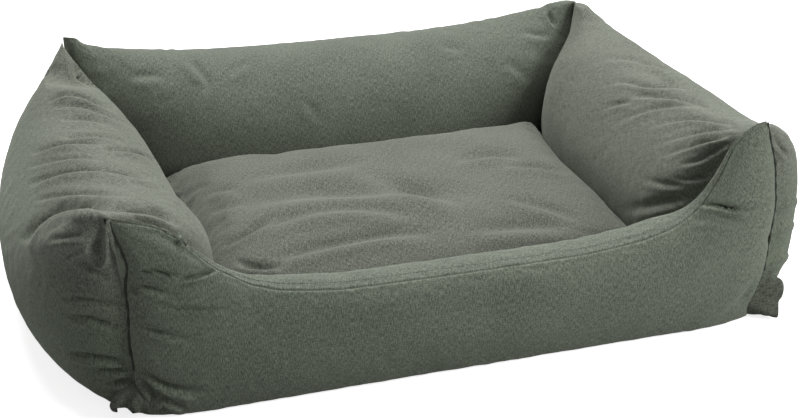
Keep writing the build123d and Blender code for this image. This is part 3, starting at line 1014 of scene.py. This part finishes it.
def fold(piece, lines):
    """Presses the lines of the photo into the side of a piece that the camera sees."""
    places, facing = in_photo(points_of(piece)), camera_cosine(piece) > 0
    late = fold_late.get(piece.name, 1.0)
    height = np.zeros(len(places))
    for amount, width, line in lines:
        other = ridge_by_valley if amount < 0 else valley_by_ridge
        add_fold(height, places, facing, line, fold_gain * amount / 1000, width, late, other)
    raise_skin(piece, height)


def cloth_places(piece):
    """Each point's place on the cloth's own map, in metres."""
    mesh = piece.data
    corner_points = np.empty(len(mesh.loops), dtype=int)
    mesh.loops.foreach_get("vertex_index", corner_points)
    flat = np.empty(len(mesh.loops) * 2)
    mesh.uv_layers["cloth"].data.foreach_get("uv", flat)
    places = np.zeros((len(mesh.vertices), 2))
    places[corner_points] = flat.reshape(-1, 2)
    return places


def pucker(piece, length, girth, count, seed):
    """Small folds that run round a wall, more of them near its ends."""
    draw = random.Random(seed)
    places = cloth_places(piece)
    height, anywhere = np.zeros(len(places)), np.ones(len(places), dtype=bool)
    for _ in range(count):
        end_pull = abs(draw.gauss(0, pucker_spread))
        run = end_pull if draw.random() < 0.5 else 1 - end_pull
        run = min(max(run, pucker_run[0]), pucker_run[1]) * length
        around = draw.uniform(-pucker_around, pucker_around) * girth
        reach = draw.uniform(*pucker_reach)
        lean = draw.gauss(0, pucker_lean)
        bow = draw.gauss(0, pucker_bow)
        width = draw.uniform(*pucker_width)
        amount = -draw.uniform(*pucker_depth) * width
        lean *= reach
        line = ((run - lean, around - reach), (run + bow, around), (run + lean, around + reach))
        add_fold(height, places, anywhere, line, amount, width)
    # Fainter where the camera sees the wall, because its own folds are drawn there
    raise_skin(piece, height * np.clip(0.6 - 3 * camera_cosine(piece), 0.12, 1))


# %% Fold and finish the walls
groove_depth, groove_width = 0.0013, 0.0010
piping_height, piping_width, piping_below = 0.0004, 0.0022, 0.0032


def seam_groove(piece):
    """Along the top of the front: a sunk seam and the turned edge of the panel below it."""
    below = -cloth_places(piece)[:, 1]
    height = piping_height * np.exp(-(((below - piping_below) / piping_width) ** 2))
    raise_skin(piece, height - groove_depth * np.exp(-((below / groove_width) ** 2)))


for seed, (name, wall) in enumerate(walls.items()):
    piece = wall_pieces[name]
    finish_modifier(piece, "SUBSURF", levels=2, render_levels=2)
    pucker(piece, wall["length"], wall["girth"], puckers[name], seed)
    fold(piece, folds[name])
    if name == "front_wall":
        seam_groove(piece)
    smooth(piece)
    piece.data.materials.append(wall["cloth"])
    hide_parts(*wall["nodes"])
    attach(piece, "bed")
    print(name, "triangles:", 2 * len(piece.data.polygons))

front = wall_pieces["front_wall"]
front.data.materials.append(rim_canvas)
cloth_map = front.data.uv_layers["cloth"].data
for face in front.data.polygons:
    over_seam = sum(cloth_map[loop].uv.y for loop in face.loop_indices) / len(face.vertices)
    face.material_index = int(over_seam > 0)

# %% [markdown]
# ## Topstitching
# A second seam holds the front edge flat, 5 mm inside the first one. Its stitches are short
# lengths of thread that lie on the cloth. One stitch is a thin cylinder with rounded ends,
# and the rest are copies, each laid along the front wall and dropped onto its finished skin.

# %% Stitches
stitch_length, stitch_pitch, stitch_radius = 0.0030, 0.0043, 0.00028
stitch_inside, stitch_margin = 0.005, 0.018


def skin_of(piece):
    """A search tree of a finished piece, to lay things on it."""
    mesh = piece.data
    return BVHTree.FromPolygons(
        [vertex.co for vertex in mesh.vertices], [tuple(face.vertices) for face in mesh.polygons]
    )


stitch = tube("one_stitch", 6, stitch_radius, stitch_length, "NGON")
bpy.ops.object.mode_set(mode="EDIT")
select_where(stitch, "FACE", lambda mesh, face: abs(face.normal.z) > 0.9)
bpy.ops.mesh.inset(thickness=stitch_radius * 0.4)
bpy.ops.transform.resize(value=(1, 1, 1.12))
bpy.ops.object.mode_set(mode="OBJECT")

front_wall = walls["front_wall"]
front_skin = skin_of(front)


def stitched_turn(run):
    """The turn whose place lies the stitches' distance inside the seam."""
    turns = front_seam_turn + np.linspace(0, 0.05, 21)
    reached = way_along([on_wall(front_wall, run, turn) for turn in turns])
    return np.interp(stitch_inside, reached, turns)


stitch_count = int((span_x - 2 * stitch_margin) / stitch_pitch)
for number in range(stitch_count):
    run = stitch_margin + (number + 0.5) * stitch_pitch
    ends = []
    for offset in (-stitch_pitch / 2, stitch_pitch / 2):
        wanted = on_wall(front_wall, run + offset, stitched_turn(run + offset))
        place, normal, *_ = front_skin.find_nearest(wanted)
        ends.append(place + normal * stitch_radius * 0.5)
    along = ends[1] - ends[0]
    copy = stitch.copy()
    copy.data = stitch.data.copy()
    scene.collection.objects.link(copy)
    copy.rotation_mode = "QUATERNION"
    copy.rotation_quaternion = along.to_track_quat("Z", "X")
    copy.location = (ends[0] + ends[1]) / 2
    copy.name = f"stitch_{number}"
bpy.ops.object.select_all(action="DESELECT")
bpy.data.objects.remove(stitch)
stitches = [piece for piece in scene.objects if piece.name.startswith("stitch_")]
for piece in stitches:
    piece.select_set(True)
bpy.context.view_layer.objects.active = stitches[0]
bpy.ops.object.join()
topstitching = added("front_topstitching")
bpy.ops.object.transform_apply(location=True, rotation=True, scale=True)
smooth(topstitching)
print("stitches:", stitch_count)

# %% [markdown]
# ## The loose cushion
# The cushion is a padded mattress. Its top is nearly flat with a low crown, its edges roll
# under, its sides pull in between the corners, and it is pressed into the well until it
# meets the walls. It starts as a cube that is subdivided and rounded. The same simulation
# softens it, then every point that has gone into a wall is laid against the wall's skin.

# %% Cushion
cushion_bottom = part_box("cushion_bottom_panel")[0][2]
cushion_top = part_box("cushion_top_panel")[1][2]
cushion_half = 0.248
cushion_front, cushion_back = -0.2395, 0.118
cushion_mid_y = (cushion_front + cushion_back) / 2
cushion_half_y = (cushion_back - cushion_front) / 2
side_draw, crown_rise, edge_roll, roll_share = 0.055, 0.006, 0.006, 0.06
front_fall, left_fall = 0.034, 0.018
corner_power, side_bulging, side_depth = 18, 0.04, 0.045
cushion_cuts, cushion_pressure, cushion_cap = 63, 4, 0.006
cushion_spare = (0.03, 0.02, 0.0)

bpy.ops.object.select_all(action="DESELECT")
bpy.ops.mesh.primitive_cube_add(size=2, location=(0, 0, 0))
cushion = added("cushion_pad")
bpy.ops.object.mode_set(mode="EDIT")
bpy.ops.mesh.select_all(action="SELECT")
bpy.ops.mesh.subdivide(number_cuts=cushion_cuts)
bpy.ops.object.mode_set(mode="OBJECT")
cushion_places = [vertex.co.copy() for vertex in cushion.data.vertices]


def squircle(x, y, power):
    """Pulls a square's points onto a rounder outline."""
    reach = max(abs(x), abs(y))
    length = (abs(x) ** power + abs(y) ** power) ** (1 / power)
    return (x, y) if length == 0 else (x * reach / length, y * reach / length)


uv_layer = cushion.data.uv_layers[0]
uv_layer.name = "cloth"
for face in cushion.data.polygons:
    on_side, on_front = abs(face.normal.x) > 0.5, abs(face.normal.y) > 0.5
    for loop, index in zip(face.loop_indices, face.vertices):
        flat = cushion_places[index]
        down = (1 - flat.z) * side_depth
        along = flat.x * cushion_half + math.copysign(down * on_side, flat.x)
        across = flat.y * cushion_half_y + math.copysign(down * on_front, flat.y)
        uv_layer.data[loop].uv = (along, across)

for vertex, flat in zip(cushion.data.vertices, cushion_places):
    x, y = squircle(flat.x, flat.y, corner_power)
    edge = max(abs(x), abs(y))
    level = (flat.z + 1) / 2
    across_share = 1 - min(y * y, 1) if abs(x) > abs(y) else 1 - min(x * x, 1)
    draw = 1 - side_draw * across_share * edge ** 6
    bulge = 1 - side_bulging * abs(2 * level - 0.6) ** 3 * edge ** 4
    crown = ((1 - x ** 4) * (1 - y ** 4)) ** 0.7
    top = cushion_top - crown_rise + crown_rise * crown
    roll = edge_roll * (max(edge - 1 + roll_share, 0) / roll_share) ** 2
    top -= front_fall * max(-y, 0) ** 1.9 * (1 - 0.35 * x) + left_fall * max(-x, 0) ** 6
    height = cushion_bottom + (top - cushion_bottom) * level
    height -= roll * level ** 2 - 0.25 * roll * (1 - level) ** 2
    vertex.co = (
        x * draw * bulge * cushion_half,
        cushion_mid_y + y * draw * bulge * cushion_half_y,
        height,
    )

underside = [flat.z < -0.99 for flat in cushion_places]
puff(cushion, underside, cushion_pressure, cushion_spare, cushion_cap)
finish_modifier(cushion, "SUBSURF", levels=1, render_levels=1)

folds["cushion_pad"] = (
    (-5.0, 8.0, ((228, 214), (261, 197), (310, 190), (352, 189), (425, 187), (492, 195))),
    (-3.6, 5.0, ((250, 232), (284, 218), (320, 209), (372, 208), (420, 216))),
    (-3.4, 5.0, ((262, 262), (296, 252), (330, 243), (388, 232), (440, 232))),
    (-4.6, 3.2, ((234, 260), (250, 266), (266, 267), (284, 265))),
    (-3.0, 3.0, ((222, 247), (238, 238), (258, 226), (276, 214))),
    (-4.2, 4.4, ((452, 161), (478, 153), (500, 152), (524, 158))),
    (-3.4, 3.0, ((500, 166), (530, 164), (552, 168), (574, 172))),
    (-3.0, 6.0, ((352, 170), (388, 178), (425, 190), (470, 208))),
    (-3.0, 5.0, ((236, 182), (272, 172), (322, 166), (372, 160))),
    (-3.0, 6.0, ((466, 230), (520, 224), (572, 226))),
    (-2.0, 3.2, ((204, 196), (216, 190), (236, 187))),
    (-2.0, 3.0, ((212, 214), (226, 206), (246, 200))),
    (-2.2, 4.0, ((500, 196), (540, 204), (584, 220))),
)
fold(cushion, folds["cushion_pad"])


wall_gap, wall_search = 0.0008, 0.08


def pressed(points, skin):
    """Moves points that lie inside a wall's skin, or too near it, out of it."""
    moved = points.copy()
    for index, point in enumerate(points):
        place, normal, *_ = skin.find_nearest(Vector(point), wall_search)
        if place is not None and (Vector(point) - place).dot(normal) < wall_gap:
            moved[index] = place + normal * wall_gap
    return moved


cushion_points = points_of(cushion)
for wall_piece in wall_pieces.values():
    cushion_points = pressed(cushion_points, skin_of(wall_piece))

# %% A channel for the zip, low in the back edge
zip_low, zip_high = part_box("cushion_zip_tapes")
zip_middle = (zip_low[2] + zip_high[2]) / 2
channel_half, channel_fade, channel_end, channel_depth = 0.0095, 0.012, 0.02, 0.0008
beside_zip = np.maximum(np.abs(cushion_points[:, 0]) - zip_high[0], 0) / channel_end
above_zip = np.maximum(np.abs(cushion_points[:, 2] - zip_middle) - channel_half, 0) / channel_fade
open_share = np.maximum(beside_zip, above_zip)
limit = zip_low[1] - channel_depth
sunk = limit + (cushion_points[:, 1] - limit) * open_share ** 2
in_channel = (cushion_points[:, 1] > limit) & (open_share < 1) & (cushion_points[:, 1] > 0)
cushion_points[in_channel, 1] = sunk[in_channel]
set_points(cushion, cushion_points)
smooth(cushion)
cushion.data.materials.append(cushion_canvas)
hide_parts("cushion_top_panel", "cushion_bottom_panel", "cushion_filling")
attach(cushion, "cushion")
print("cushion:", [round(side, 3) for side in cushion.dimensions])

# %% [markdown]
# ## Corner seams
# Two walls meet at each corner in one upright seam. Only a narrow puckered line of it shows,
# deep in the groove between the walls, and a small fold of spare cloth at the ear's top. A
# thin cylinder is cut into rings, and the rings follow the sway of the corner.

# %% Corner seams
seam_radius, seam_sides, seam_rings = 0.0016, 12, 90
front_seam_drop, back_seam_drop = 0.004, 0.008
wave_pitch, wave_share, wave_sway = 0.0135, 0.06, 0.0003
seam_seed, tuft_seed = 50, 80
for seed, (corner, (x, y)) in enumerate(corners.items()):
    draw = random.Random(seam_seed + seed)
    seam_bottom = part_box(corner + "_corner_seam")[0][2]
    seam_top = ear_top - (front_seam_drop if y < 0 else back_seam_drop)
    seam_length, middle = seam_top - seam_bottom, (x, y, (seam_top + seam_bottom) / 2)
    seam = tube(corner + "_seam", seam_sides, seam_radius, seam_length, "TRIFAN", middle)
    bpy.ops.object.transform_apply(location=True, rotation=True, scale=True)
    cut_rings(seam, seam_length / 2, seam_rings)
    lay_cloth(seam, lambda point: (point.x - x + point.y - y, point.z))
    phase = draw.uniform(0, 6)
    outward = Vector((math.copysign(1, x), 1 if y > 0 else -1, 0)).normalized()
    for vertex in seam.data.vertices:
        point = vertex.co
        share = (point.z - seam_bottom) / (seam_top - seam_bottom)
        wave = math.sin(2 * math.pi * point.z / wave_pitch + phase + 2 * math.sin(40 * point.z))
        size = (1 + wave_share * wave) * min(1, 0.5 + 4 * min(share, 1 - share))
        centre = Vector((x, y, point.z))
        vertex.co = centre + (point - centre) * size + outward * wave_sway * wave
        vertex.co.z = point.z
    set_points(seam, dress_corners(points_of(seam)))
    smooth(seam)
    # Near-black seam: the thread's colour plus painted shade of the groove between the walls
    seam.data.materials.append(seam_thread_and_painted_shade)
    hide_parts(corner + "_corner_seam")
    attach(seam, "bed")
print("corner seams:", len(corners))

# %% [markdown]
# ## Gathered tufts
# At each bottom corner the spare cloth of both walls is tied in a bunch, as the end of a
# sack is. Below the tie it flares like a short skirt and crumples into uneven lobes with
# dark hollows between them. So each tuft is a cylinder without caps: narrow where it is
# tied, with deep uneven waves at its free hem, given its thickness and smoothed.

# %% Tufts
tuft_around, tuft_rings, tuft_cloth = 112, 24, 0.0018
# For each corner: the tie's place from the foot of the seam, and the way the skirt flares
tufts = {
    "front_left": dict(
        tie=(0.008, 0.002, 0.032), axis=(-0.20, -0.30, -0.90), broad=(0.90, -0.30, 0.0)
    ),
    "front_right": dict(
        tie=(-0.011, 0.001, 0.024), axis=(0.95, -0.05, 0.06), broad=(0.02, 0.25, 0.95),
        size=1.3, tied=0.70,
    ),
    "back_left": dict(tie=(0.004, 0.004, 0.022), axis=(-0.7, 0.7, -0.4), broad=(0.7, 0.7, 0.0)),
    "back_right": dict(tie=(-0.004, 0.004, 0.022), axis=(0.7, 0.7, -0.4), broad=(0.7, -0.7, 0.0)),
}
tuft_length, tuft_broad, tuft_thin, tuft_tie = 0.025, 0.0215, 0.0115, 0.25
lobe_count, lobe_depth = 5, 0.20
crumple_count, crumple_depth = 11, 0.07
hem_unevenness, hem_curl = 0.10, 0.004
foot_softness = 0.002


def skirt(name, draw, tie, axis, broad, size=1.0, tied=tuft_tie):
    """A flared tube of cloth with a wavy hem, tied at its narrow end."""
    piece = tube(name, tuft_around, 1, 2, "NOTHING")
    cut_rings(piece, 1, tuft_rings)
    lay_cloth(piece, lambda flat: (
        math.atan2(flat.y, flat.x) * tuft_broad, flat.z * tuft_length / 2
    ))
    axis, broad = Vector(axis).normalized(), Vector(broad).normalized()
    thin = axis.cross(broad).normalized()
    phase, lean, crumple = (draw.uniform(0, 2 * math.pi) for _ in range(3))
    for vertex in piece.data.vertices:
        share = (vertex.co.z + 1) / 2
        turn = math.atan2(vertex.co.y, vertex.co.x)
        twist = turn + 0.5 * share * math.sin(turn + lean)
        lobes = math.sin(lobe_count * twist + phase + 0.9 * math.sin(2 * turn + lean))
        small = math.sin(crumple_count * turn + 6 * share + crumple)
        small *= math.sin(8 * share + phase)
        wide = size * (tied + (1 - tied) * math.sin(math.pi * share / 1.5))
        wide *= 1 + lobe_depth * share * lobes + crumple_depth * share * small
        hem = 1 + hem_unevenness * math.sin(3 * turn + crumple)
        reach = size * tuft_length * share * hem
        curl = hem_curl * share ** 2 * math.sin(2 * turn + phase)
        place = Vector(tie) + axis * reach + thin * curl
        place += broad * tuft_broad * wide * math.cos(turn)
        place += thin * tuft_thin * wide * math.sin(turn)
        vertex.co = place
    finish_modifier(piece, "SOLIDIFY", thickness=tuft_cloth, offset=0)
    finish_modifier(piece, "SUBSURF", levels=1, render_levels=1)
    points = points_of(piece)
    rise = points[:, 2] - foot_level
    pressed_flat = foot_softness * np.exp(rise / foot_softness - 1)
    points[:, 2] = foot_level + np.where(rise > foot_softness, rise, pressed_flat)
    set_points(piece, points)
    return piece


for seed, (corner, (x, y)) in enumerate(corners.items()):
    shape = tufts[corner]
    shape["tie"] = Vector(shape["tie"]) + Vector((x, y, 0))
    tuft = skirt(corner + "_tuft", random.Random(tuft_seed + seed), **shape)
    smooth(tuft)
    # Painted shade: the tuft's canvas is a darker copy of the walls' cloth
    tuft.data.materials.append(tuft_canvas_painted_shade)
    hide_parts(corner + "_corner_tuft")
    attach(tuft, "bed")
    print(corner, "tuft, lowest point:", round(points_of(tuft)[:, 2].min(), 4))

# %% [markdown]
# ## Small parts
# The base cloth, the grip dots and the zip keep their CAD shapes, which are already right.
# Each gets a finish of its own: a coarse black cloth, matt rubber, woven tape, moulded teeth
# and dull metal. One function makes them all from a fine grain in colour, gloss and surface.

# %% Small parts
grain_stops, grain_rough = ((0.3, 0.75), (0.7, 1.2)), 0.08


def plain(name, colour, roughness, bump_scale, bump_depth, metal=0.0):
    """A finish with a fine grain in its colour, roughness and surface."""
    material, nodes, links = new_material(name)
    shader = nodes["Principled BSDF"]
    place = nodes.new("ShaderNodeTexCoord").outputs["Object"]
    texture = nodes.new("ShaderNodeTexNoise")
    texture.inputs["Scale"].default_value = bump_scale
    texture.inputs["Detail"].default_value = 4
    links.new(place, texture.inputs["Vector"])
    grain = texture.outputs["Fac"]
    links.new(shades(nodes, links, grain, colour, grain_stops), shader.inputs["Base Color"])
    rough = spread(nodes, links, grain, roughness - grain_rough, roughness + grain_rough)
    links.new(rough, shader.inputs["Roughness"])
    roughen(nodes, links, shader, grain, 0.4, bump_depth)
    shader.inputs["Metallic"].default_value = metal
    return material


finishes = {
    "base_panel": plain("base_cloth", (0.03, 0.03, 0.032), 0.85, 900, 0.0004),
    "floor_lining": plain("lining_cloth", (0.12, 0.13, 0.11), 0.9, 900, 0.0004),
    "grip_dots": plain("grip_rubber", (0.035, 0.035, 0.035), 0.7, 400, 0.0002),
    "cushion_zip_tapes": plain("zip_tape", (0.07, 0.078, 0.065), 0.85, 1500, 0.0003),
    "cushion_zip_teeth": plain("zip_teeth", (0.06, 0.066, 0.055), 0.45, 600, 0.0001),
    "cushion_zip_stops": plain("zip_stop", (0.09, 0.095, 0.085), 0.35, 500, 0.0001, 1.0),
    "cushion_zip_slider": plain("zip_slider", (0.10, 0.105, 0.095), 0.35, 500, 0.0001, 1.0),
    "cushion_zip_pull": plain("zip_pull", (0.10, 0.105, 0.095), 0.35, 500, 0.0001, 1.0),
}
for node, finish in finishes.items():
    frame["nodes"][node].data.materials.clear()
    frame["nodes"][node].data.materials.append(finish)
print("finishes:", ", ".join(finishes))

topstitching.data.materials.append(plain("thread", (0.20, 0.215, 0.18), 0.6, 2500, 0.0001))
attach(topstitching, "bed")
